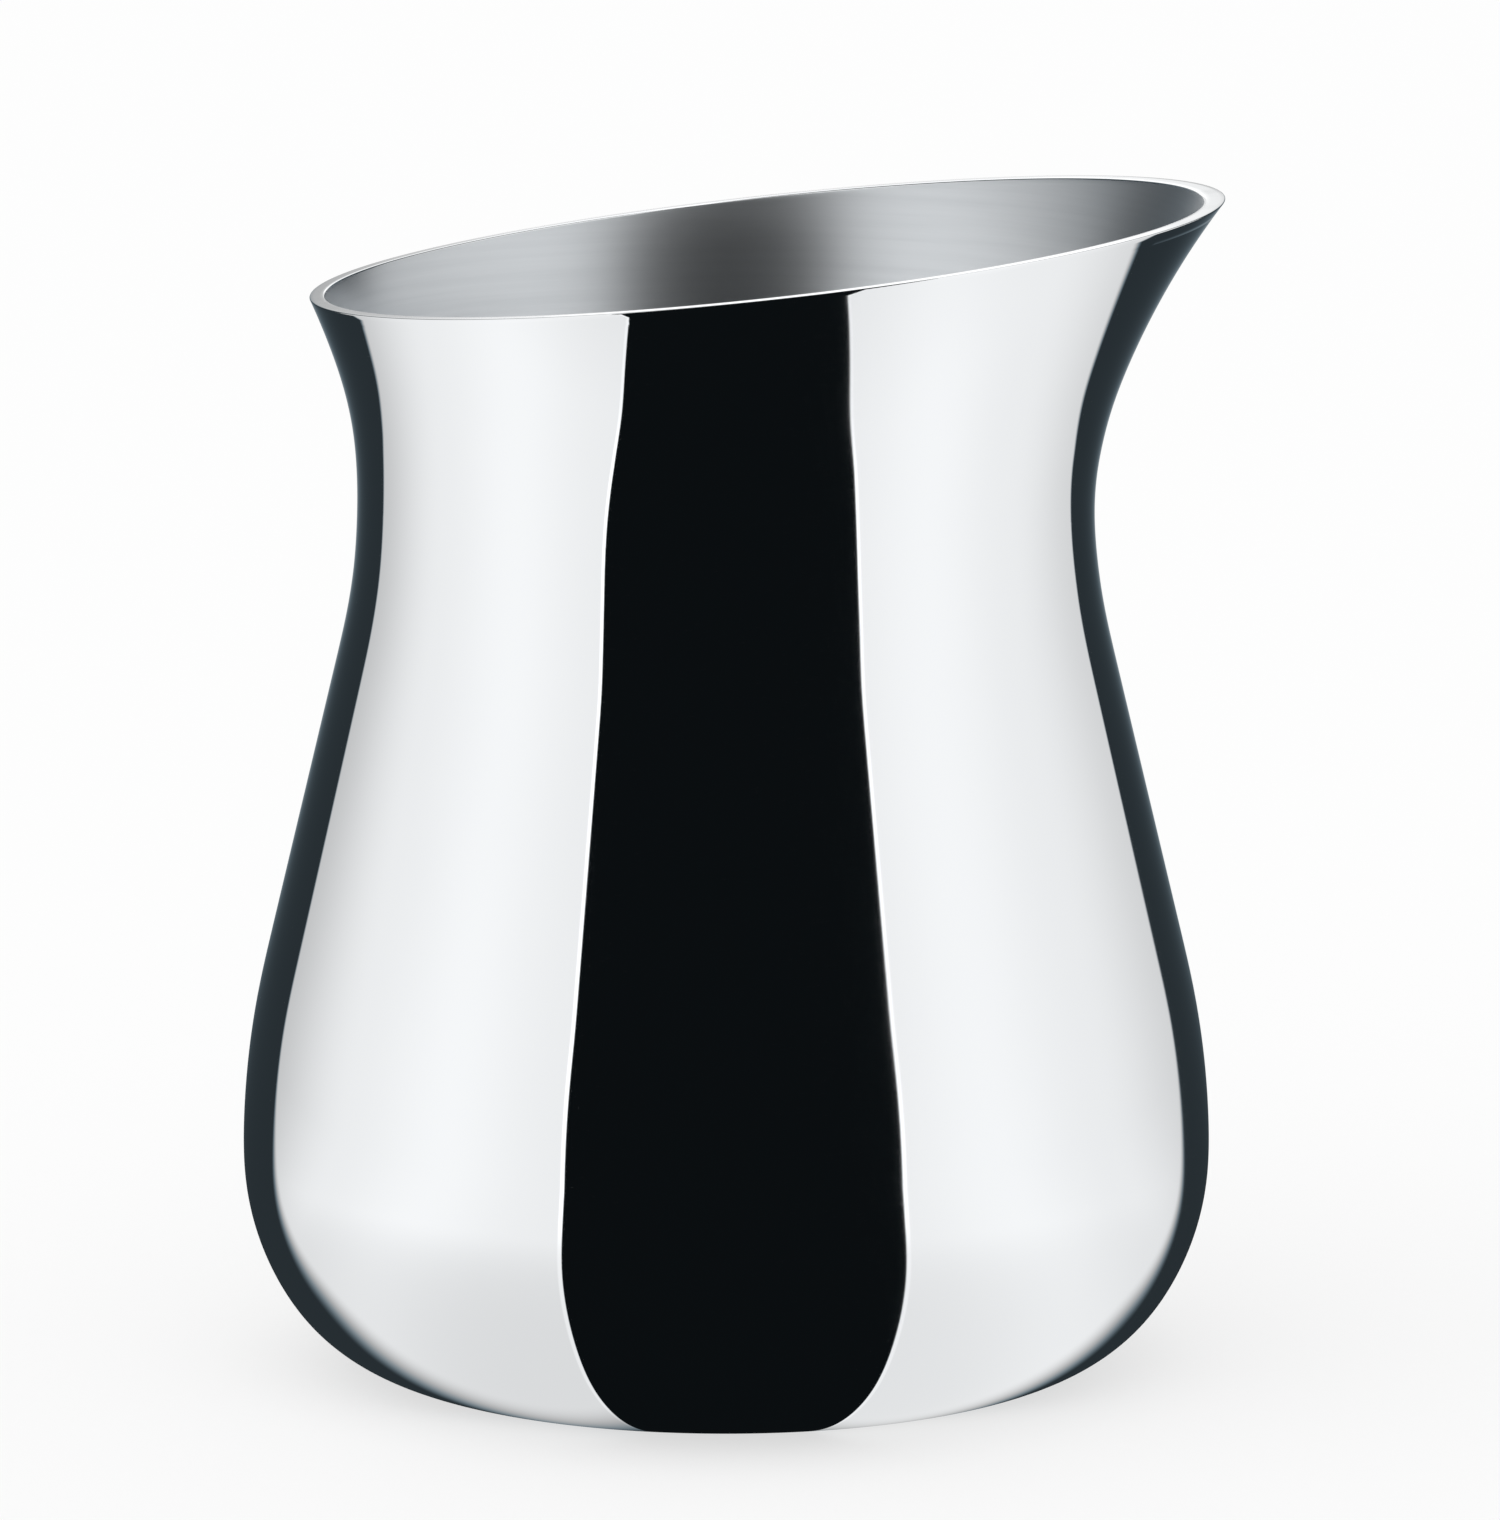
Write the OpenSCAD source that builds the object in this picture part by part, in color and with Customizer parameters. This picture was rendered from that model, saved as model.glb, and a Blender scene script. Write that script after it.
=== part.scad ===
// Cream jug of polished sheet silver: a wide squat belly, a narrow waist and a flared
// neck that leans a little toward its lip and is cut off at a slant.
// It is put together the way a silversmith does it: a belly shell, a neck soldered on
// at the waist and thickened toward the mouth, a bottom plate let in from above, and a
// flat wire that closes the mouth.
//
// Frame: the origin is the centre of the ring the jug stands on, on the belly's axis.
// +Z is up and the lip points along +X.  Everything is in millimetres.

/* [Belly] */
// Diameter of the belly at its widest ring
belly_d = 76; // [73:1:82]
// Height of the widest ring above the table
belly_z = 17.5; // [17:0.5:18]
// Radius of the curve from the widest ring down toward the foot
bowl_r = 20.4; // [18.8:0.2:22]
// How far that curve turns under before the tighter foot curve takes over, in degrees
bowl_turn = 34; // [28:1:38]
// Radius of the long curve from the widest ring up to the straight shoulder
shoulder_r = 65; // [50:1:70]
// Slope of the straight shoulder away from the vertical, in degrees
shoulder_slope = 13.5; // [12.5:0.5:16]

/* [Neck] */
// Outer diameter at the waist
waist_d = 57.5; // [54:0.5:60]
// Radius of the hollow curve where the shoulder runs into the waist
waist_r = 45; // [30:1:60]
// Radius of the first hollow curve of the neck, just above the waist
neck_r = 29; // [26:1:36]
// How far the first curve turns outward before the wider one begins, in degrees
neck_turn = 20; // [16:1:24]
// Radius of the wider hollow curve that carries the neck out to the mouth
flare_r = 62; // [55:1:75]
// How far the neck's axis leans toward the lip, in degrees
neck_lean = 1.3; // [0:0.1:3]

/* [Mouth] */
// Height of the mouth's plane on the jug's axis
mouth_z = 88.5; // [85:0.5:90]
// Rise of the mouth's plane toward the lip, in degrees
mouth_slope = 6.2; // [0:0.2:8]
// Width of the mouth wire across the wall, which the neck thickens to below it
rim_w = 1.2; // [1:0.1:1.8]
// Height of the mouth wire
rim_h = 1; // [0.8:0.1:2]

/* [Metal] */
// Thickness of the sheet that the belly, the neck and the bottom are made from
sheet = 0.9; // [0.7:0.1:1]

/* [Bottom plate] */
// Inner radius of the flange that the belly is turned in to
flange_r = 19.5; // [18:0.5:20]
// How far the bottom plate lies over that flange
plate_lap = 2; // [1.5:0.5:2]
// How far the middle of the bottom plate is pushed up
plate_dome = 0.8; // [0.4:0.1:1.5]

/* [Hidden] */
$fn = 180;

silver = [0.80, 0.81, 0.82];
bright_silver = [0.90, 0.91, 0.92];
solder_grey = [0.66, 0.67, 0.67];

// Angle between two points along a drawn curve
arc_step = 3;

// The widest ring, the waist and the foot, worked out from the driving sizes
belly_rad = belly_d / 2;
waist_rad = waist_d / 2;
foot_r = (belly_z - bowl_r * sin(bowl_turn)) / (1 - sin(bowl_turn));
bowl_c = [belly_rad - bowl_r, belly_z];
foot_c = bowl_c + (bowl_r - foot_r) * [cos(bowl_turn), -sin(bowl_turn)];
shoulder_c = [belly_rad - shoulder_r, belly_z];
shoulder_end = shoulder_c + shoulder_r * [cos(shoulder_slope), sin(shoulder_slope)];
waist_start_x = waist_rad + waist_r * (1 - cos(shoulder_slope));
flank_rise = (shoulder_end.x - waist_start_x) / tan(shoulder_slope);
waist_z = shoulder_end.y + flank_rise + waist_r * sin(shoulder_slope);
waist_c = [waist_rad + waist_r, waist_z];

// The two hollow curves of the neck, in the neck's own leaning frame
neck_c = [waist_rad + neck_r, 0];
flare_c = neck_c + (flare_r - neck_r) * [cos(neck_turn), -sin(neck_turn)];

// How far past the joint planes the walls are drawn before they are cut
overrun_turn = 3;
flare_end = 46;
// The neck's turn by which its wall has thickened to the width of the mouth wire
thick_turn = 28;
// A block larger than the jug, used to cut the walls off at a plane
big = 120;

// Solder: how far the waist's bead stands proud and how wide it runs, and the other seams' sizes
bead_proud = 0.25;
bead_half = 1;
bead_steps = 8;
mouth_seam_h = 0.15;
bottom_bead_w = 2.4;
bottom_bead_h = 0.72;
plate_r = flange_r + plate_lap;

// Points on an arc round c, from angle a0 to a1 counted from +X
function arc(c, r, a0, a1) =
    let (n = max(2, ceil(abs(a1 - a0) / arc_step)))
    [for (i = [0:n]) let (a = a0 + (a1 - a0) * i / n) c + r * [cos(a), sin(a)]];

function reversed(points) = [for (i = [len(points) - 1:-1:0]) points[i]];

// Outline of the belly from the flange's edge up past the waist, set in by a distance
// square to the wall: rounded-out curves lose the inset, the hollow one gains it
function belly_outline(inset) = concat(
    [[flange_r, inset]],
    arc(foot_c, foot_r - inset, -90, -bowl_turn),
    arc(bowl_c, bowl_r - inset, -bowl_turn, 0),
    arc(shoulder_c, shoulder_r - inset, 0, shoulder_slope),
    arc(waist_c, waist_r + inset, 180 + shoulder_slope, 180 - overrun_turn));

// Outline of the neck in its own frame, from just below the waist to past the mouth. Its
// distance square to the outer wall goes from one inset on the first curve to another at the mouth
function neck_outline(inset, mouth_inset) = concat(
    arc(neck_c, neck_r + inset, 180 + overrun_turn, 180 - neck_turn),
    [for (turn = [neck_turn + 1:1:thick_turn - 1])
        let (share = (1 - cos(180 * (turn - neck_turn) / (thick_turn - neck_turn))) / 2)
        flare_c + (flare_r + inset + (mouth_inset - inset) * share) * [-cos(turn), sin(turn)]],
    arc(flare_c, flare_r + mouth_inset, 180 - thick_turn, 180 - flare_end));

// A wall turned between two insets of an outline
module turned_wall(outer, inner) {
    rotate_extrude() polygon(concat(outer, reversed(inner)));
}

// Places the neck's own frame on the waist
module in_neck_frame() {
    translate([0, 0, waist_z]) rotate([0, neck_lean, 0]) children();
}

// Everything above a plane through [0, 0, z] that rises toward the lip
module above_plane(z, slope) {
    translate([0, 0, z]) rotate([0, -slope, 0]) translate([-big, -big, 0]) cube([2 * big, 2 * big, big]);
}

// Everything below the same plane
module below_plane(z, slope) {
    translate([0, 0, z]) rotate([0, -slope, 0]) translate([-big, -big, -big]) cube([2 * big, 2 * big, big]);
}

// The neck's whole wall, kept between the planes at z_low and z_high on the axis
module neck_band(z_low, slope_low, z_high) {
    difference() {
        in_neck_frame() turned_wall(neck_outline(0, 0), neck_outline(sheet, rim_w));
        below_plane(z_low, slope_low);
        above_plane(z_high, mouth_slope);
    }
}

// Belly and shoulder, with the flange it stands on turned in at the foot
module belly_shell() {
    color(silver) difference() {
        turned_wall(belly_outline(0), belly_outline(sheet));
        above_plane(waist_z, -neck_lean / 2);
    }
}

// Flared neck, mitred onto the belly at the waist and cut off under the mouth wire
module neck() {
    color(silver) neck_band(waist_z, -neck_lean / 2, mouth_z - rim_h - mouth_seam_h);
}

// Wire round the mouth, flush with the neck's wall inside and out
module mouth_wire() {
    color(bright_silver) neck_band(mouth_z - rim_h, mouth_slope, mouth_z);
}

// Bottom plate, laid over the flange from inside and pushed up in the middle
module bottom_plate() {
    dome_r = (pow(flange_r, 2) + pow(plate_dome, 2)) / (2 * plate_dome);
    dome_turn = asin(flange_r / dome_r);
    dome_c = [0, sheet + plate_dome - dome_r];
    underside = concat([[plate_r, sheet]], arc(dome_c, dome_r, 90 - dome_turn, 90));
    upper_side = [for (p = reversed(underside)) p + [0, sheet]];
    color(silver) rotate_extrude() polygon(concat(underside, upper_side));
}

// Low bead of solder inside the seam between belly and neck
module waist_solder() {
    wall = [for (i = [-bead_steps:bead_steps])
        let (h = bead_half * i / bead_steps, r = h < 0 ? waist_r : neck_r)
        [waist_rad + r - sqrt(pow(r + sheet, 2) - h * h), h]];
    bead = [for (p = wall) p - [bead_proud * (1 - pow(p.y / bead_half, 2)), 0]];
    inner = [for (i = [1:len(bead) - 2]) bead[i]];
    color(solder_grey) translate([0, 0, waist_z]) rotate([0, neck_lean / 2, 0])
        rotate_extrude() polygon(concat(wall, reversed(inner)));
}

// Thin layer of solder that joins the mouth wire to the neck
module mouth_solder() {
    z_top = mouth_z - rim_h;
    color(solder_grey) neck_band(z_top - mouth_seam_h, mouth_slope, z_top);
}

// Fillet of solder round the edge of the bottom plate
module bottom_solder() {
    wall_r = foot_r - sheet;
    reach = plate_r + bottom_bead_w;
    wall = arc(foot_c, wall_r, -90, -90 + asin((reach - foot_c.x) / wall_r));
    top = [plate_r, sheet + bottom_bead_h];
    color(solder_grey) rotate_extrude() polygon(concat([[plate_r, sheet]], wall, [top]));
}

belly_shell();
neck();
mouth_wire();
bottom_plate();
waist_solder();
mouth_solder();
bottom_solder();
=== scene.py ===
import math
import bpy
import numpy as np
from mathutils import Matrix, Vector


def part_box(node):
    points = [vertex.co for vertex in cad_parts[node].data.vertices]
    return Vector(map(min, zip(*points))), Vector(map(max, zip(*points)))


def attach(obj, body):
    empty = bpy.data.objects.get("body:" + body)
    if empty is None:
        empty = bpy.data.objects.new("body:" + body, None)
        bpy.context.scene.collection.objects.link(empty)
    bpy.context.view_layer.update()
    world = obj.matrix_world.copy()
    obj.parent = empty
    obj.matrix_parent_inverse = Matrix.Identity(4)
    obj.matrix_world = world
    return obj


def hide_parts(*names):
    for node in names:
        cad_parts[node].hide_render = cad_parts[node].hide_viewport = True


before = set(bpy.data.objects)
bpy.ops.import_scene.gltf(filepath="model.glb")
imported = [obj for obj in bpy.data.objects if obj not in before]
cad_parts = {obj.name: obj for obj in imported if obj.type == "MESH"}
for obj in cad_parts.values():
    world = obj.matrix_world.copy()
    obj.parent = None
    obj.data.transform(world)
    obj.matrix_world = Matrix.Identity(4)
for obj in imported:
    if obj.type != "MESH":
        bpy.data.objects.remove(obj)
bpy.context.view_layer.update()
print("frame loaded:", ", ".join(sorted(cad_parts)))

mm = 0.001  # metres in a millimetre
scene = bpy.context.scene

# The jug's driving sizes, in millimetres and degrees. The widest ring comes from the frame.
jugForm = {
    "bellyRad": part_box("belly_shell")[1].y / mm,
    "bellyZ": 17.5,  # height of the widest ring
    "bowlR": 20.4,  # curve from the widest ring down toward the foot
    "bowlTurn": 34.0,
    "shoulderR": 65.0,  # long curve from the widest ring up to the straight shoulder
    "shoulderSlope": 13.5,
    "waistRad": 28.75,
    "waistR": 45.0,  # hollow curve where the shoulder runs into the waist
    "neckR": 29.0,  # first hollow curve of the neck
    "neckTurn": 20.0,
    "flareR": 62.0,  # wider hollow curve out to the mouth
    "flareTurn": 27.0,
    "blend": 4.0,  # the curvature is averaged over this far on either side
    "lean": 1.3,  # how far the neck's axis leans toward the lip
    "leanReach": 6.0,  # the lean comes in over this far below and above the waist
    "mouthZ": 88.5,
    "mouthSlope": 6.2,
    "flangeR": 19.5,
    "sheet": 0.9,
    "thickFrom": 20.0, "thickTo": 28.0,  # the neck thickens to the wire's width over this turn
}
ringSteps = 300  # points round every turned piece


def rad(degrees):
    return math.radians(degrees)


# The outer outline as stretches of (length, curvature), from the flange's edge out along the standing
# ring, round the foot and the bowl, up the shoulder and the flank, and through the waist to the flare.
def outlineStretches(form):
    f = form
    sinTurn = math.sin(rad(f["bowlTurn"]))
    footR = (f["bellyZ"] - f["bowlR"] * sinTurn) / (1 - sinTurn)
    footX = f["bellyRad"] - f["bowlR"] + (f["bowlR"] - footR) * math.cos(rad(f["bowlTurn"]))
    slope = rad(f["shoulderSlope"])
    flankRun = f["bellyRad"] - f["waistRad"] - (f["shoulderR"] + f["waistR"]) * (1 - math.cos(slope))
    return [(footX - f["flangeR"], 0.0),
            (footR * rad(90 - f["bowlTurn"]), 1 / footR),
            (f["bowlR"] * rad(f["bowlTurn"]), 1 / f["bowlR"]),
            (f["shoulderR"] * slope, 1 / f["shoulderR"]),
            (flankRun / math.sin(slope), 0.0),
            (f["waistR"] * slope, -1 / f["waistR"]),
            (f["neckR"] * rad(f["neckTurn"]), -1 / f["neckR"]),
            (f["flareR"] * rad(f["flareTurn"]), -1 / f["flareR"])]


# The outline itself, worked out along its length s. The curvature of the stretches is averaged over a
# short window past the foot, so that nothing the wall mirrors has a corner in it. Summing it gives the
# direction, and summing (cos, sin) of the direction gives radius and height. The small drift that the
# averaging leaves is taken back evenly, so that the waist stays in its place.
def jugOutline(form, step=0.02):
    stretches = outlineStretches(form)
    ends = np.cumsum([length for length, _ in stretches])
    s = np.arange(0, ends[-1], step)
    bends = np.array([bend for _, bend in stretches])
    bend = bends[np.minimum(np.searchsorted(ends, s, side="right"), len(bends) - 1)]
    half = int(form["blend"] / step)
    window = np.hanning(2 * half + 1)
    padded = np.concatenate([np.full(half, bend[0]), bend, np.full(half, bend[-1])])
    eased = np.convolve(padded, window / window.sum(), "valid")
    share = np.clip((s - ends[0]) / (ends[1] - ends[0]), 0, 1)
    bend = bend + (eased - bend) * share * share * (3 - 2 * share)
    turn = np.concatenate([[0], np.cumsum((bend[1:] + bend[:-1]) / 2 * step)])
    r = form["flangeR"] + np.concatenate([[0], np.cumsum(np.cos((turn[1:] + turn[:-1]) / 2) * step)])
    z = np.concatenate([[0], np.cumsum(np.sin((turn[1:] + turn[:-1]) / 2) * step)])
    waistS = ends[5]
    drift = form["waistRad"] - np.interp(waistS, s, r)
    r = r + drift * np.clip(s / waistS, 0, 1)
    return {"s": s, "r": r, "z": z, "turn": turn, "bend": bend, "waistS": waistS, "footS": ends[0],
            "waistZ": np.interp(waistS, s, z)}


outline = jugOutline(jugForm)
waistS, waistZ = outline["waistS"], outline["waistZ"]


# The wall at length s along the outline, moved in by inset square to it: radius, and height above the
# waist. The outward direction there is (sin turn, -cos turn).
def wall(s, inset):
    turn = np.interp(s, outline["s"], outline["turn"])
    r = np.interp(s, outline["s"], outline["r"]) - inset * np.sin(turn)
    z = np.interp(s, outline["s"], outline["z"]) + inset * np.cos(turn)
    return r, z - waistZ


# The inner side of the neck's wall at length s: its inset goes from the sheet to the wire's width, eased
# between the two lengths where the neck has turned out by thickFrom and thickTo.
def neckInset(s):
    f = jugForm
    inFlare = s - waistS - f["neckR"] * rad(f["neckTurn"]) + f["flareR"] * rad(f["neckTurn"])
    turned = inFlare / (f["flareR"] * rad(1))
    share = np.clip((turned - f["thickFrom"]) / (f["thickTo"] - f["thickFrom"]), 0, 1)
    return f["sheet"] + (wireForm["wide"] - f["sheet"]) * (1 - np.cos(math.pi * share)) / 2


# Lengths from start to end, closer together where the outline bends and at both ends.
def alongOutline(start, end, steps):
    s = np.linspace(start, end, 2000)
    bend = np.abs(np.interp(s, outline["s"], outline["bend"]))
    fromEnd = np.minimum(s - start, end - s)
    crowd = np.cumsum(1 + 25 * bend + 1.5 * np.exp(-fromEnd))
    return np.interp(np.linspace(crowd[0], crowd[-1], steps + 1), crowd, s)


# Places rings of radius r and height h above the waist: each ring is turned about the waist's centre by
# the lean times a smooth step of its height, so that the axis bends over gently instead of at one line.
def onLeaningAxis(theta, r, h):
    reach = jugForm["leanReach"]
    step = np.clip((h + reach) / (2 * reach), 0, 1)
    lean = rad(jugForm["lean"]) * step * step * (3 - 2 * step)
    x = r * np.cos(theta)
    y = r * np.sin(theta) + 0 * h
    return np.stack([x * np.cos(lean) + h * np.sin(lean), y,
                     waistZ + h * np.cos(lean) - x * np.sin(lean)], -1)


# Points of the neck's wall at length s, where share goes from 0 outside to 1 inside.
def acrossNeck(theta, s, share):
    return onLeaningAxis(theta, *wall(s, share * neckInset(s)))


# Where the neck's wall, at a share of its thickness, meets the sloping plane z = height + x * tan(slope):
# the length along the outline is halved in on forty times for the whole grid at once.
def neckAtPlane(theta, share, height):
    low = np.full(np.broadcast(theta, share, height).shape, waistS + 5)
    high = np.full(low.shape, outline["s"][-1])
    rise = math.tan(rad(jugForm["mouthSlope"]))
    for _ in range(40):
        s = (low + high) / 2
        p = acrossNeck(theta, s, share)
        under = p[..., 2] < height + rise * p[..., 0]
        low = np.where(under, s, low)
        high = np.where(under, high, s)
    return (low + high) / 2


# Points on an arc: centre + radius * (cos a, sin a), with a going evenly from start to end.
def arc(centre, radius, start, end, steps):
    a = np.radians(np.linspace(start, end, steps + 1))
    return np.stack([centre[0] + radius * np.cos(a), centre[1] + radius * np.sin(a)], -1)


ringTheta = np.linspace(0, 2 * math.pi, ringSteps, endpoint=False)[:, None]


# A mesh from a grid of points, closed round the first index. The second index closes into a loop too,
# or with poles=True its first and last points are single points on the axis.
def gridPiece(name, points, poles=False):
    rings, across = points.shape[:2]
    i = np.arange(rings)[:, None]
    n = (i + 1) % rings
    if poles:
        inner = points[:, 1:-1]
        verts = np.concatenate([inner.reshape(-1, 3), points[:1, 0], points[:1, -1]])
        w = across - 2
        j = np.arange(w - 1)[None, :]
        quads = np.stack([i * w + j, n * w + j, n * w + j + 1, i * w + j + 1], -1).reshape(-1, 4)
        first, last = rings * w, rings * w + 1
        caps = [np.stack([np.full(rings, first), n[:, 0] * w, i[:, 0] * w], -1),
                np.stack([np.full(rings, last), i[:, 0] * w + w - 1, n[:, 0] * w + w - 1], -1)]
        faces = quads.tolist() + np.concatenate(caps).tolist()
    else:
        j = np.arange(across)[None, :]
        m = (j + 1) % across
        verts = points.reshape(-1, 3)
        quads = np.stack([i * across + j, n * across + j, n * across + m, i * across + m], -1)
        faces = quads.reshape(-1, 4).tolist()
    mesh = bpy.data.meshes.new(name)
    mesh.from_pydata((verts * mm).tolist(), [], faces)
    mesh.polygons.foreach_set("use_smooth", np.ones(len(mesh.polygons), bool))
    mesh.update()
    piece = bpy.data.objects.new(name, mesh)
    scene.collection.objects.link(piece)
    return piece


# Keeps the corners crisp: an edge whose faces meet at more than the angle is marked sharp.
def crispEdges(piece, angle):
    piece.data.set_sharp_from_angle(angle=rad(angle))


# Gives the faces between two columns of a looped grid another material slot.
def faceSlots(piece, across, ranges):
    slots = np.zeros((len(piece.data.polygons) // across, across), np.int32)
    for start, end, index in ranges:
        slots[:, start:end] = index
    piece.data.polygons.foreach_set("material_index", slots.ravel())


bellySteps = {"outer": 150, "inner": 96}


# Belly shell: the outer outline up and the inner outline back down, turned round the axis.
def bellyShell():
    outer = np.stack(wall(alongOutline(0, waistS, bellySteps["outer"]), 0.0), -1)
    inner = np.stack(wall(alongOutline(0, waistS, bellySteps["inner"]), jugForm["sheet"]), -1)[::-1]
    section = np.concatenate([outer, inner])
    piece = gridPiece("belly_shell_skin", onLeaningAxis(ringTheta, section[None, :, 0], section[None, :, 1]))
    faceSlots(piece, len(section), [(len(outer), len(section) - 1, 1)])
    crispEdges(piece, 40)
    return piece


neckSteps = {"outer": 64, "inner": 48}


# Neck: the outer wall from the waist up to the plane under the mouth wire, across it, and back down
# inside. Each side's length runs from the waist to wherever the wall meets that plane.
def neckShell():
    top = jugForm["mouthZ"] - wireForm["high"] - solderForm["mouthHigh"]
    sides = []
    for steps, share in ((neckSteps["outer"], 0.0), (neckSteps["inner"], 1.0)):
        even = np.linspace(0, 1, steps + 1)
        upTo = 0.4 * even + 0.6 * (1 - np.cos(math.pi * even)) / 2
        s = waistS + (neckAtPlane(ringTheta, share, top) - waistS) * upTo[None, :]
        sides.append(acrossNeck(ringTheta, s, share))
    points = np.concatenate([sides[0], sides[1][:, ::-1]], 1)
    piece = gridPiece("neck_skin", points)
    faceSlots(piece, points.shape[1], [(sides[0].shape[1], points.shape[1] - 1, 1)])
    crispEdges(piece, 30)
    return piece


wireForm = {"wide": 1.2, "high": 1.0, "edge": 0.1, "edgeSteps": 5}


# The wire's section as (inset, height): a flat strip with its two upper edges just broken. Also gives
# the points at which its face and its inner side begin.
def wireSection():
    w, h, e, n = wireForm["wide"], wireForm["high"], wireForm["edge"], wireForm["edgeSteps"]
    outerTop = arc((e, h - e), e, 180, 90, n)
    innerTop = arc((w - e, h - e), e, 90, 0, n)
    outerSide = np.linspace([0, 0], outerTop[0], 4)[:-1]
    face = np.linspace(outerTop[-1], innerTop[0], 5)[1:-1]
    innerSide = np.linspace(innerTop[-1], [w, 0], 4)[1:]
    under = np.linspace([w, 0], [0, 0], 4)[1:-1]
    faceFrom = len(outerSide)
    innerFrom = faceFrom + len(outerTop) + len(face) + len(innerTop) - 1
    return np.concatenate([outerSide, outerTop, face, innerTop, innerSide, under]), faceFrom, innerFrom


# Mouth wire: the section carried round the mouth, each of its points set in the neck's wall at its
# share of the thickness and on the sloping plane at its height. Its sides are finished with the neck's.
def mouthWire():
    section, faceFrom, innerFrom = wireSection()
    share = section[None, :, 0] / wireForm["wide"]
    height = jugForm["mouthZ"] - wireForm["high"] + section[None, :, 1]
    s = neckAtPlane(ringTheta, share, height)
    piece = gridPiece("mouth_wire_skin", acrossNeck(ringTheta, s, share))
    faceSlots(piece, len(section), [(0, faceFrom, 1), (innerFrom, innerFrom + 3, 2)])
    crispEdges(piece, 50)
    return piece


plateForm = {"lap": 2.0, "dome": 0.8, "edge": 0.25}


# Bottom plate: a cap of a large sphere inside the flange and a flat rim lying on it, as thick as the
# sheet, with its outer edge rounded. The height of the cap is dome * (1 - (r / flangeR)^2).
def bottomPlate():
    f, p = jugForm, plateForm
    reach = f["flangeR"] + p["lap"]
    e = p["edge"]

    def rise(r):
        return p["dome"] * np.clip(1 - (r / f["flangeR"]) ** 2, 0, None)

    under = np.linspace(0, reach - e, 60)
    under = np.stack([under, f["sheet"] + rise(under)], -1)
    lowEdge = arc((reach - e, f["sheet"] + e), e, -90, 0, 5)[1:]
    topEdge = arc((reach - e, 2 * f["sheet"] - e), e, 0, 90, 5)
    over = under[::-1][1:] + [0, f["sheet"]]
    section = np.concatenate([under, lowEdge, topEdge, over])[None]
    points = onLeaningAxis(ringTheta, section[..., 0], section[..., 1] - waistZ)
    piece = gridPiece("bottom_plate_skin", points, poles=True)
    crispEdges(piece, 50)
    return piece


solderForm = {"proud": 0.25, "half": 1.0, "sink": 0.12, "unevenness": 0.12,
              "mouthHigh": 0.15, "bottomReach": 0.9, "bottomHigh": 0.72, "bottomSag": 0.21}


# How much metal the solder carries at each angle: 1 plus a few slow waves round the ring.
def runOfSolder(theta, phase):
    waves = np.sin(3 * theta + phase) + 0.6 * np.sin(7 * theta + 2 * phase) + 0.4 * np.sin(16 * theta)
    return 1 + solderForm["unevenness"] * waves / 2


# Solder inside the waist: a bead whose height above the wall is proud * (1 - (d / half)^2), with d the
# distance along the wall from the joint, sunk a little into the joint at its back.
def waistSolder():
    form = solderForm
    d = np.linspace(-form["half"], form["half"], 17)[None, :]
    bump = 1 - (d / form["half"]) ** 2
    face = jugForm["sheet"] + form["proud"] * bump * runOfSolder(ringTheta, 0.4)
    back = jugForm["sheet"] - form["sink"] * bump + 0 * ringTheta
    inset = np.concatenate([back, face[:, ::-1][:, 1:-1]], 1)
    s = waistS + np.concatenate([d, d[:, ::-1][:, 1:-1]], 1)
    return gridPiece("waist_solder_skin", onLeaningAxis(ringTheta, *wall(s, inset)))


# Solder under the mouth wire: a thin layer over the whole width of the wall, polished over with its sides.
def mouthSolder():
    top = jugForm["mouthZ"] - wireForm["high"]
    low = top - solderForm["mouthHigh"]
    share = np.array([[0, 0, 0, 1, 1, 1]])
    height = np.array([[low, (low + top) / 2, top, top, (low + top) / 2, low]])
    s = neckAtPlane(ringTheta, share, height)
    piece = gridPiece("mouth_solder_skin", acrossNeck(ringTheta, s, share))
    faceSlots(piece, share.size, [(0, 2, 1), (3, 5, 2)])
    crispEdges(piece, 40)
    return piece


# Solder round the bottom plate: a hollow fillet from the plate's edge down to the inner foot curve. Its
# face is a straight line between the two, sagging by sag * 4 t (1 - t).
def bottomSolder():
    form, sheet = solderForm, jugForm["sheet"]
    plateR = jugForm["flangeR"] + plateForm["lap"]
    s = np.linspace(plateForm["lap"], outline["footS"] + form["bottomReach"], 12)
    base = np.stack(wall(s, sheet), -1)
    crown = np.array([plateR, sheet + form["bottomHigh"] - waistZ])
    t = np.linspace(0, 1, 11)[1:, None]
    face = base[-1] + (crown - base[-1]) * t - form["bottomSag"] * 4 * t * (1 - t)
    section = np.concatenate([base, face])[None]
    h = section[..., 1] - base[0, 1]
    h = base[0, 1] + h * np.clip(runOfSolder(ringTheta, 2.1), 0.75, 1)
    piece = gridPiece("bottom_solder_skin", onLeaningAxis(ringTheta, section[..., 0], h))
    crispEdges(piece, 50)
    return piece


print("building the pieces")
pieces = {
    "belly_shell": bellyShell(),
    "neck": neckShell(),
    "mouth_wire": mouthWire(),
    "bottom_plate": bottomPlate(),
    "waist_solder": waistSolder(),
    "mouth_solder": mouthSolder(),
    "bottom_solder": bottomSolder(),
}


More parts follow.
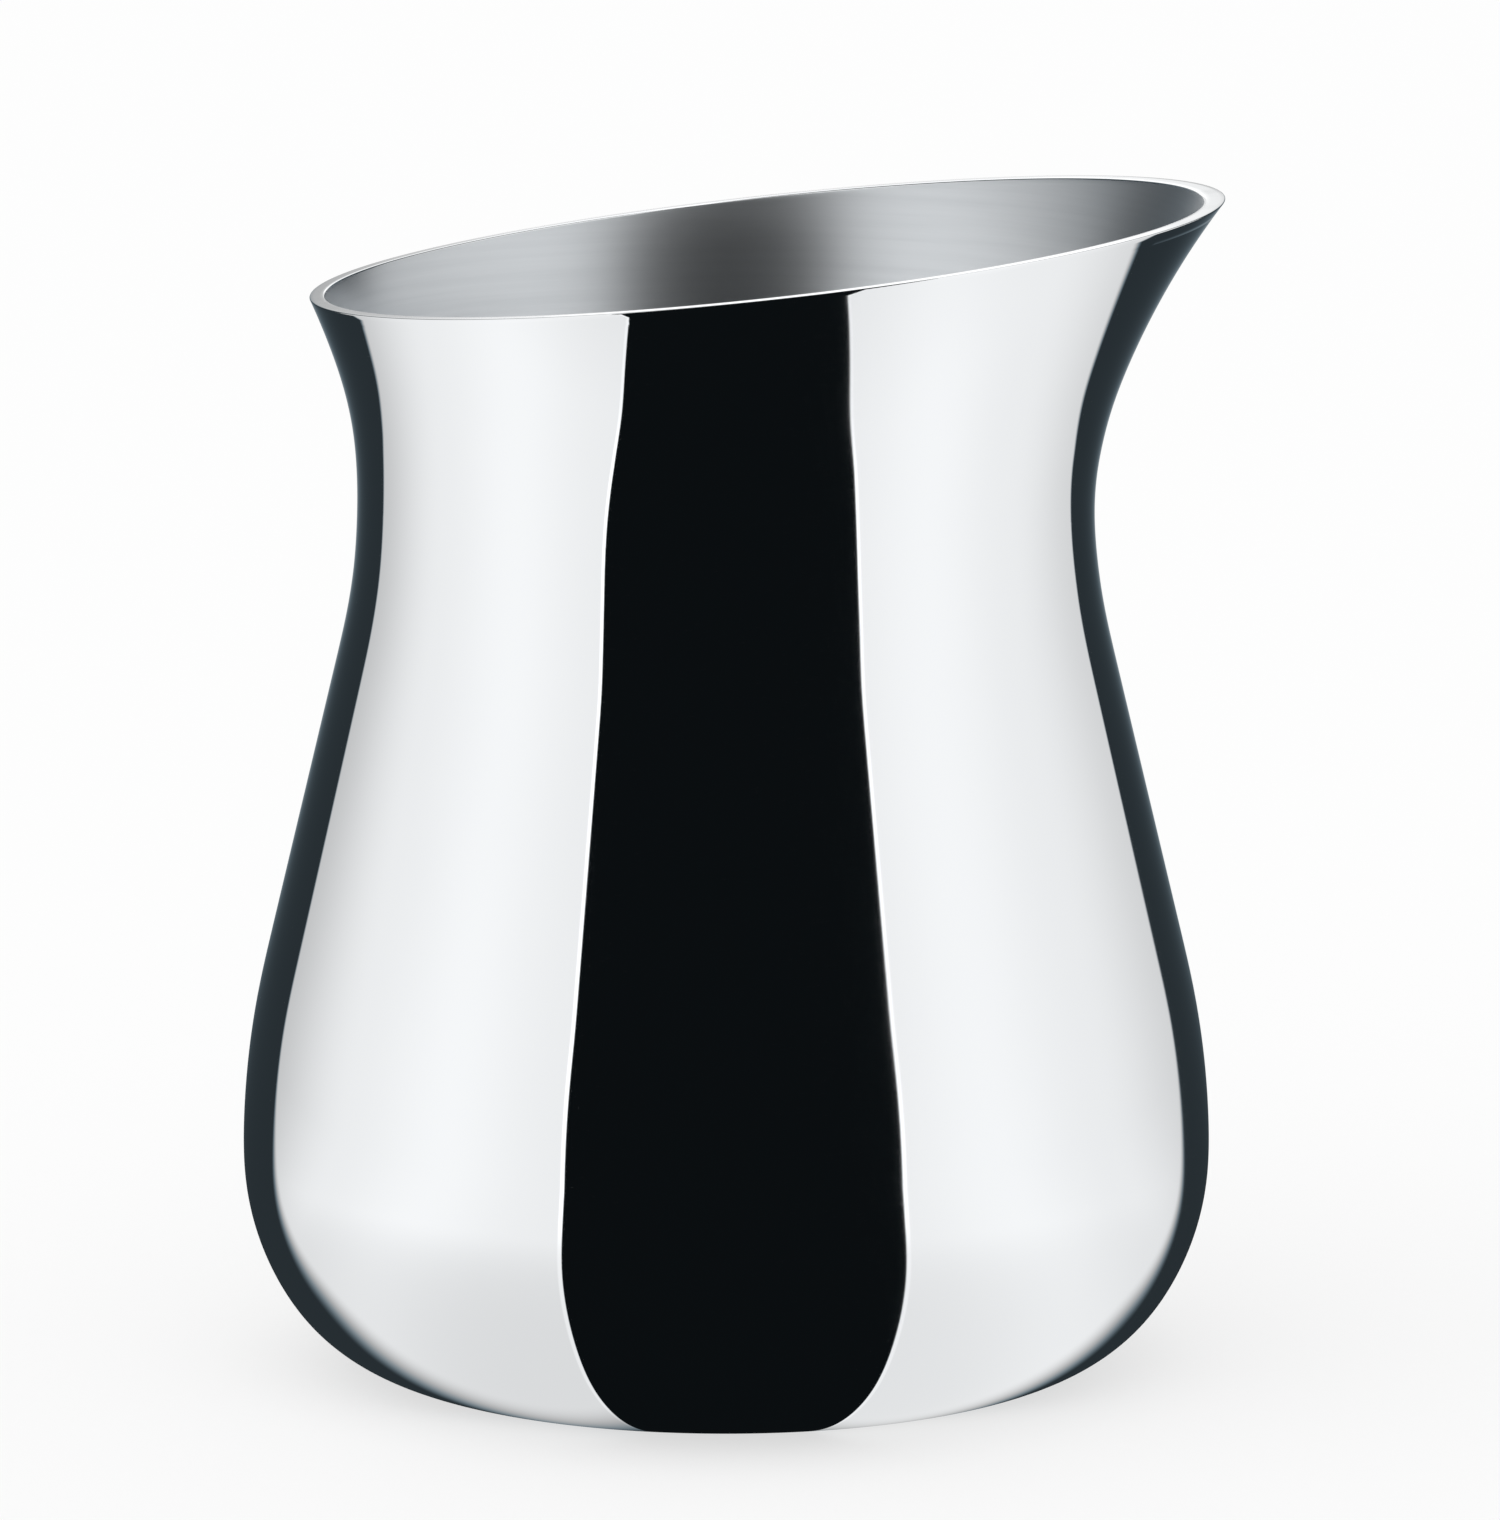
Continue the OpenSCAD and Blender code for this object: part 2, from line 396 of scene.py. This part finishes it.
# A socket that adds its own Math nodes when it is used in an expression.
class Val:
    def __init__(self, tree, socket):
        self.tree, self.socket = tree, socket

    def math(self, operation, *others):
        return self.tree.make("ShaderNodeMath", {"operation": operation}, [self, *others])

    def __add__(self, other):
        return self.math("ADD", other)

    def __radd__(self, other):
        return self.math("ADD", other)

    def __sub__(self, other):
        return self.math("SUBTRACT", other)

    def __rsub__(self, other):
        return self.tree.make("ShaderNodeMath", {"operation": "SUBTRACT"}, [other, self])

    def __mul__(self, other):
        return self.math("MULTIPLY", other)

    def __rmul__(self, other):
        return self.math("MULTIPLY", other)

    def __truediv__(self, other):
        return self.math("DIVIDE", other)

    def __pow__(self, other):
        return self.math("POWER", other)

    def smooth(self, low, high):  # 0 below low, 1 above high, eased between
        return self.tree.make("ShaderNodeMapRange", {"interpolation_type": "SMOOTHSTEP"},
                              {"Value": self, "From Min": low, "From Max": high})


# A node tree with one method that adds any node: its type, then its settings, then its sockets.
class Tree:
    def __init__(self, owner):
        owner.use_nodes = True
        self.nodes, self.links = owner.node_tree.nodes, owner.node_tree.links
        self.nodes.clear()

    def make(self, kind, settings=None, inputs=None, out=0):
        node = self.nodes.new(kind)
        for name, value in (settings or {}).items():
            setattr(node, name, value)
        pairs = enumerate(inputs) if isinstance(inputs, list) else (inputs or {}).items()
        for name, value in pairs:
            if isinstance(value, Val):
                self.links.new(value.socket, node.inputs[name])
            else:
                node.inputs[name].default_value = value
        return Val(self, node.outputs[out]) if node.outputs else node

    def place(self):  # the surface's own Object coordinates
        return self.make("ShaderNodeTexCoord", out="Object")

    def split(self, vector):
        node = self.make("ShaderNodeSeparateXYZ", inputs=[vector]).socket.node
        return [Val(self, node.outputs[k]) for k in range(3)]

    def noise(self, vector, scale, detail=2.0, rough=0.5):
        return self.make("ShaderNodeTexNoise", {"noise_dimensions": "3D"},
                         {"Vector": vector, "Scale": scale, "Detail": detail, "Roughness": rough})

    def stretched(self, vector, sizes):
        return self.make("ShaderNodeMapping", {"vector_type": "POINT"},
                         {"Vector": vector, "Scale": sizes})

    def mixColours(self, factor, first, second):
        return self.make("ShaderNodeMix", {"data_type": "RGBA"},
                         {"Factor": factor, 6: first, 7: second}, out=2)


def surface(tree, shader):
    tree.make("ShaderNodeOutputMaterial", inputs={"Surface": shader})


polishLook = {"silver": (0.93, 0.936, 0.946, 1), "shade": (0.905, 0.912, 0.925, 1),
              "smooth": 0.018, "wiped": 0.035, "scratch": 0.05, "waveDepth": 0.0000012}


# Polished outside: a near mirror with broad cloth marks and hair-fine scratches that lift the
# roughness a little, and a wave too shallow to see except in the edges of what it reflects.
def polishedSilver():
    material = bpy.data.materials.new("polished silver")
    t = Tree(material)
    look = polishLook
    at = t.place()
    wiped = t.noise(t.stretched(at, (1, 1, 0.35)), 38, 3, 0.55).smooth(0.42, 0.72)
    ring = t.noise(t.stretched(at, (1, 1, 26)), 90, 2, 0.6)
    cross = t.noise(t.stretched(at, (22, 3, 6)), 120, 1, 0.5)
    scratch = ring.smooth(0.63, 0.80) * 0.6 + cross.smooth(0.70, 0.84) * 0.7
    roughness = look["smooth"] + look["wiped"] * wiped + look["scratch"] * scratch * wiped
    wave = t.noise(at, 55, 1, 0.4)
    height = wave + ring * 0.0015
    bump = t.make("ShaderNodeBump", inputs={
        "Strength": 1.0, "Distance": look["waveDepth"], "Height": height})
    colour = t.mixColours(wiped * 0.6, look["silver"], look["shade"])
    surface(t, t.make("ShaderNodeBsdfPrincipled", inputs={
        "Base Color": colour, "Metallic": 1.0, "Roughness": roughness, "Normal": bump}))
    return material


satinLook = {"silver": (0.715, 0.735, 0.755, 1), "shade": (0.66, 0.68, 0.70, 1),
             "roughness": 0.35, "spread": 0.05, "lineDepth": 0.0000005}


# Satin inside: fine lines left by the spinning tool round the axis, over a soft even sheen.
def satinSilver():
    material = bpy.data.materials.new("satin silver")
    t = Tree(material)
    look = satinLook
    at = t.place()
    fine = t.noise(t.stretched(at, (1, 1, 40)), 40, 3, 0.6)
    broad = t.noise(t.stretched(at, (1, 1, 9)), 30, 2, 0.5)
    cloud = t.noise(at, 30, 3, 0.5)
    roughness = look["roughness"] + look["spread"] * (fine - 0.5) + look["spread"] * (cloud - 0.5)
    bump = t.make("ShaderNodeBump", inputs={"Strength": 1.0, "Distance": look["lineDepth"],
                                            "Height": fine + broad * 0.8})
    colour = t.mixColours((fine * 0.6 + cloud * 0.5).smooth(0.35, 0.8), look["silver"], look["shade"])
    surface(t, t.make("ShaderNodeBsdfPrincipled", inputs={
        "Base Color": colour, "Metallic": 1.0, "Roughness": roughness, "Normal": bump}))
    return material


wireLook = {"silver": (0.94, 0.944, 0.95, 1), "shade": (0.87, 0.88, 0.89, 1),
            "smooth": 0.04, "worn": 0.06, "drawn": 0.03, "lineDepth": 0.000001}


# Polished wire: a mirror that handling has dulled a little, more along some stretches than others.
def polishedWire():
    material = bpy.data.materials.new("polished wire")
    t = Tree(material)
    look = wireLook
    at = t.place()
    worn = t.noise(at, 160, 3, 0.6).smooth(0.45, 0.75)
    drawn = t.noise(t.stretched(at, (1, 1, 14)), 260, 2, 0.6)
    roughness = look["smooth"] + look["worn"] * worn + look["drawn"] * drawn
    bump = t.make("ShaderNodeBump", inputs={"Strength": 1.0, "Distance": look["lineDepth"],
                                            "Height": drawn * 0.4 + worn * 0.6})
    colour = t.mixColours(worn * 0.7, look["silver"], look["shade"])
    surface(t, t.make("ShaderNodeBsdfPrincipled", inputs={
        "Base Color": colour, "Metallic": 1.0, "Roughness": roughness, "Normal": bump}))
    return material


plateLook = {"silver": (0.84, 0.845, 0.85, 1), "shade": (0.66, 0.67, 0.68, 1),
             "roughness": 0.3, "ringPitch": 0.45, "ringDepth": 0.000008}


# Turned bottom: rings whose height is a sine of the distance from the axis, broken up by noise.
def turnedBottom():
    material = bpy.data.materials.new("turned bottom")
    t = Tree(material)
    look = plateLook
    at = t.place()
    x, y, z = t.split(at)
    radius = (x * x + y * y) ** 0.5
    drift = t.noise(at, 60, 2, 0.5)
    phase = radius * (2 * math.pi / (look["ringPitch"] * mm)) + drift * 2.5
    rings = phase.math("SINE") * 0.5 + 0.5
    grain = t.noise(at, 900, 2, 0.6)
    dull = t.noise(at, 110, 3, 0.55).smooth(0.4, 0.75)
    roughness = look["roughness"] + 0.14 * dull + 0.08 * rings
    bump = t.make("ShaderNodeBump", inputs={"Strength": 1.0, "Distance": look["ringDepth"],
                                            "Height": rings + grain * 0.35})
    colour = t.mixColours(dull * 0.7 + rings * 0.15, look["silver"], look["shade"])
    surface(t, t.make("ShaderNodeBsdfPrincipled", inputs={
        "Base Color": colour, "Metallic": 1.0, "Roughness": roughness, "Normal": bump}))
    return material


solderLook = {"metal": (0.78, 0.775, 0.76, 1), "dark": (0.56, 0.56, 0.55, 1), "roughness": 0.33,
              "rippleDepth": 0.00002}


# Solder: a little warmer and duller than the sheet, pitted and rippled where it has run.
def solderMetal():
    material = bpy.data.materials.new("solder")
    t = Tree(material)
    look = solderLook
    at = t.place()
    ripple = t.noise(at, 700, 3, 0.6)
    pits = t.noise(at, 2600, 1, 0.5).smooth(0.62, 0.8)
    roughness = look["roughness"] + 0.2 * (ripple - 0.5) + 0.2 * pits
    bump = t.make("ShaderNodeBump", inputs={"Strength": 1.0, "Distance": look["rippleDepth"],
                                            "Height": ripple - pits * 0.5})
    colour = t.mixColours(ripple.smooth(0.4, 0.7) * 0.6 + pits * 0.3, look["metal"], look["dark"])
    surface(t, t.make("ShaderNodeBsdfPrincipled", inputs={
        "Base Color": colour, "Metallic": 1.0, "Roughness": roughness, "Normal": bump}))
    return material


print("mixing the finishes")
outside, inside, wire = polishedSilver(), satinSilver(), polishedWire()
bottom, solder = turnedBottom(), solderMetal()
finishes = {
    "belly_shell": ([outside, inside], "polished_sheet"),
    "neck": ([outside, inside], "polished_sheet"),
    "mouth_wire": ([wire, outside, inside], "polished_wire"),
    "bottom_plate": ([bottom], "satin_plate"),
    "waist_solder": ([solder], "solder"),
    "mouth_solder": ([solder, outside, inside], "solder"),
    "bottom_solder": ([solder], "solder"),
}
for node, piece in pieces.items():
    materials, slot = finishes[node]
    for material in materials:
        piece.data.materials.append(material)
    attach(piece, "root")
    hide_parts(node)
    low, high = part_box(node)
    corners = np.array([c[:] for c in piece.bound_box])
    gap = max(np.abs(corners.min(0) - np.array(low)).max(), np.abs(corners.max(0) - np.array(high)).max())
    print(f"{node}: {len(piece.data.polygons)} faces, {gap / mm:.3f} mm from its place in the frame")


# The studio that the metal mirrors, in millimetres and degrees from the jug's axis: a pale sheet and
# wall on either side, a dark gap between them toward the front, and a dim room behind. On its floor
# round the foot it carries a painted shadow of the jug.
studioForm = {
    "radius": 400.0, "wallHigh": 520.0, "domeRise": 120.0,
    "frontFrom": (-16.8, -16.4), "frontAngle": (37.6, 41.3),  # left and right edge of the front gap
    "backNormal": (46.2, 48.3), "backOff": (33.5, 31.1),  # line behind which the studio is dark: the dim room, and round the foot a painted shadow of the jug
    "edgeSoft": (-1.0, 6.5),  # how far that line is blurred to either side, which is also the soft edge of the painted shadow
    "footGlow": 12.0, "footSpread": (15.0, 85.0),  # the painted shadow is pulled in at the front, so the pale floor comes nearer to the foot there
    "footShadow": (0.16, 0.09), "footShadowR": (38.0, 112.0),  # and the pale floor darkens toward the foot: a painted shadow of the jug
    "cove": 140.0,  # radius of the curve between floor and wall
    "gap": 0.0047, "gapSoft": 0.002,
    "gleam": 1.22, "gleamWide": 1.2, "gleamLow": 0.3, "gleamFade": (80.0, 150.0),
    "sheet": 0.90,  # plain level of the pale sheets; the rest is left and right
    "lift": (0.10, 0.095), "liftAt": (66.0, 62.0), "liftWide": (19.5, 21.0),  # their brighter middle
    "loss": (0.325, 0.195), "lossFrom": (95.0, 135.0),  # what they lose toward the back
    "highLoss": (0.5, 0.25), "highFrom": (200.0, 320.0), "highRound": (72.0, 135.0),  # and high up
    "roomAndShadow": 0.028, "roomFrom": (15.0, 55.0),
    "roomGlow": 1.6, "roomWide": 6.2, "roomMost": 0.8,  # the glow in the middle of the dim room
    "glowMore": 0.4, "glowHigh": (131.0, 139.0), "glowRound": (167.0, 176.0),  # brighter from there up
    "overhead": 0.85, "overheadR": 150.0,
    "tint": (0.985, 0.995, 1.0, 1), "dimTint": (0.75, 1.02, 1.2, 1), "tintFrom": (0.02, 0.5),
}


# Studio shell: a floor disc, a cove, a wall and a domed roof as one surface turned round the axis.
def studioShell():
    s = studioForm
    inside = s["radius"] - s["cove"]
    floor = np.stack([np.linspace(0, inside, 40), np.full(40, -0.1)], -1)
    cove = arc((inside, s["cove"] - 0.1), s["cove"], -90, 0, 24)[1:]
    wall = np.linspace(cove[-1], [s["radius"], s["wallHigh"]], 12)[1:]
    a = np.radians(np.linspace(0, 90, 14))[1:]
    roof = np.stack([s["radius"] * np.cos(a), s["wallHigh"] + s["domeRise"] * np.sin(a)], -1)
    roof[-1, 0] = 0
    outline = np.concatenate([floor, cove, wall, roof])
    theta = np.linspace(0, 2 * math.pi, 96, endpoint=False)[:, None]
    r, z = outline[None, :, 0], outline[None, :, 1]
    points = np.stack([r * np.cos(theta), r * np.sin(theta), z + 0 * theta], -1)
    shell = gridPiece("studio_shell", points[:, ::-1], poles=True)
    shell.data.materials.append(studioLight())
    for kind in ("camera", "diffuse", "transmission", "volume_scatter", "shadow"):
        setattr(shell, "visible_" + kind, False)
    return shell


# What the studio sends out. A point is pale where it is outside the front gap's edge line and in front
# of the back line of its own side, with a thin gleam along the gap's edges. Behind that line it is dark:
# the dim room on the walls, and on the floor round the foot a painted shadow of the jug. With a as the
# angle round from the front, a pale sheet's level is sheet + lift * exp(-((a - liftAt) / liftWide)^2),
# less its loss and the painted shadow toward the foot, and the dark level is its base level + roomGlow *
# exp((a - 180) / roomWide), up to roomMost.
def studioLight():
    s = studioForm
    material = bpy.data.materials.new("studio light")
    material.cycles.emission_sampling = "NONE"
    t = Tree(material)
    x, forward, z = t.split(t.place())
    x, forward, z = x * 1000, forward * -1000, z * 1000
    right = x.math("GREATER_THAN", 0.0)
    side = x.math("ABSOLUTE")
    around = side.math("ARCTAN2", forward) * (180 / math.pi)
    fromAxis = (x * x + forward * forward) ** 0.5

    def pick(left, rightValue):
        return left + right * (rightValue - left)

    edges = []
    for k in (0, 1):
        angle, normal = rad(s["frontAngle"][k]), rad(s["backNormal"][k])
        ahead = forward + s["frontFrom"][k]
        off = side * math.cos(angle) - ahead * math.sin(angle)
        off = off / ((side * side + ahead * ahead) ** 0.5)
        # Beyond this back line the studio is dark: the dim room on the walls, and on the floor round the
        # foot a painted shadow of the jug.
        behind = side * math.sin(normal) + forward * math.cos(normal) - s["backOff"][k]
        edges.append((off, behind + s["footGlow"] * (1 - around.smooth(*s["footSpread"]))))
    off = pick(edges[0][0], edges[1][0])
    behind = pick(edges[0][1], edges[1][1])

    besideLift = (around - pick(*s["liftAt"])) / pick(*s["liftWide"])
    pale = s["sheet"] + pick(*s["lift"]) * (besideLift * besideLift * -1).math("EXPONENT")
    pale = pale - pick(*s["loss"]) * around.smooth(*s["lossFrom"])
    # Painted shadow of the jug: the pale sheets darken toward its foot.
    pale = pale * (1 - pick(*s["footShadow"]) * (1 - fromAxis.smooth(*s["footShadowR"])))
    highUp = around.smooth(*s["highRound"]) * z.smooth(*s["highFrom"])
    pale = pale * (1 - highUp * pick(*s["highLoss"]))

    glow = ((around - 180) / s["roomWide"]).math("EXPONENT") * s["roomGlow"]
    roomAndShadow = (s["roomAndShadow"] + glow).math("MINIMUM", s["roomMost"])
    roomAndShadow = s["gap"] + around.smooth(*s["roomFrom"]) * (roomAndShadow - s["gap"])
    roomAndShadow = roomAndShadow + around.smooth(*s["glowRound"]) * z.smooth(*s["glowHigh"]) * s["glowMore"]

    pastGap = off.smooth(-s["gapSoft"], s["gapSoft"])
    gleamEnd = math.sin(rad(s["gleamWide"]))
    gleam = pastGap * (1 - off.smooth(gleamEnd * 0.6, gleamEnd))
    gleam = gleam * (s["gleamLow"] + (1 - s["gleamLow"]) * fromAxis.smooth(*s["gleamFade"]))
    level = s["gap"] + pastGap * (pale - s["gap"])
    level = level + gleam * (s["gleam"] - level)
    # Behind the back line the level drops to the dark level: the dim room, and round the foot the painted
    # shadow of the jug.
    level = roomAndShadow + behind.smooth(*s["edgeSoft"]) * (level - roomAndShadow)
    above = z.math("GREATER_THAN", s["wallHigh"])
    overhead = above * (1 - fromAxis.smooth(s["overheadR"] * 0.6, s["overheadR"]))
    level = level + overhead * (s["overhead"] - level)

    tint = t.mixColours(level.smooth(*s["tintFrom"]), s["dimTint"], s["tint"])
    colour = t.make("ShaderNodeVectorMath", {"operation": "SCALE"}, {0: tint, "Scale": level})
    surface(t, t.make("ShaderNodeBsdfPrincipled", inputs={
        "Base Color": (0, 0, 0, 1), "Roughness": 1.0, "Specular IOR Level": 0.0,
        "Emission Color": colour, "Emission Strength": 1.0}))
    return material


floorLook = {"half": 40.0, "pale": (0.25, 0.25, 0.25, 1), "level": 0.985, "sunShare": 0.06,
             "sunTilt": 28.0, "sunSoft": 75.0}


# Pale floor: a very large flat sheet with a faint tooth, too fine to tint it. It glows evenly, like a
# light table, so that only a faint shadow is left under the jug.
def paleFloor():
    half = floorLook["half"]
    corners = np.array([[-half, -half, 0], [half, -half, 0], [half, half, 0], [-half, half, 0]])
    mesh = bpy.data.meshes.new("pale_floor")
    mesh.from_pydata(corners.tolist(), [], [[0, 1, 2, 3]])
    floor = bpy.data.objects.new("pale_floor", mesh)
    scene.collection.objects.link(floor)
    material = bpy.data.materials.new("pale floor")
    t = Tree(material)
    tooth = t.noise(t.place(), 1500, 2, 0.6)
    bump = t.make("ShaderNodeBump", inputs={"Strength": 0.2, "Distance": 0.00002, "Height": tooth})
    glow = floorLook["level"] * (1 - floorLook["pale"][0] - floorLook["sunShare"])
    surface(t, t.make("ShaderNodeBsdfPrincipled", inputs={
        "Base Color": floorLook["pale"], "Roughness": 0.9 + 0.1 * tooth, "Specular IOR Level": 0.0,
        "Normal": bump, "Emission Color": (1, 1, 1, 1), "Emission Strength": glow}))
    material.cycles.emission_sampling = "NONE"
    mesh.materials.append(material)
    floor.visible_glossy = False
    return floor


# Soft studio light: an even pale surround, and one very wide soft light from high on the front left.
# The wide light gives the floor its share of the surround's own level, so that no horizon shows.
def softLight():
    look = floorLook
    world = bpy.data.worlds.new("soft surround")
    scene.world = world
    t = Tree(world)
    t.make("ShaderNodeOutputWorld", inputs={"Surface": t.make(
        "ShaderNodeBackground", inputs={"Color": (1, 1, 1, 1), "Strength": look["level"]})})
    lamp = bpy.data.lights.new("soft_light", "SUN")
    lamp.angle = rad(look["sunSoft"])
    onFloor = look["level"] * look["sunShare"] / look["pale"][0]
    lamp.energy = onFloor * math.pi / math.cos(rad(look["sunTilt"]))
    light = bpy.data.objects.new("soft_light", lamp)
    light.rotation_euler = (rad(look["sunTilt"]) * 0.8, rad(-look["sunTilt"]) * 0.6, 0)
    light.visible_glossy = False
    scene.collection.objects.link(light)


print("setting the studio")
studioShell()
paleFloor()
softLight()

cameraForm = {"x": 1.864, "back": 803.88, "high": 182.885, "down": 9.504, "lens": 249.8}


# Camera in front of the jug, looking slightly down through a long lens.
def addCamera():
    c = cameraForm
    data = bpy.data.cameras.new("camera")
    data.sensor_fit = "HORIZONTAL"
    data.sensor_width = 36.0
    data.lens = c["lens"]
    data.clip_start = 0.02
    data.clip_end = 200.0
    camera = bpy.data.objects.new("camera", data)
    camera.location = (c["x"] * mm, -c["back"] * mm, c["high"] * mm)
    camera.rotation_euler = (rad(90 - c["down"]), 0, 0)
    scene.collection.objects.link(camera)
    scene.camera = camera
    scene.view_settings.view_transform = "Standard"
    scene.view_settings.look = "None"


addCamera()
print("scene ready")
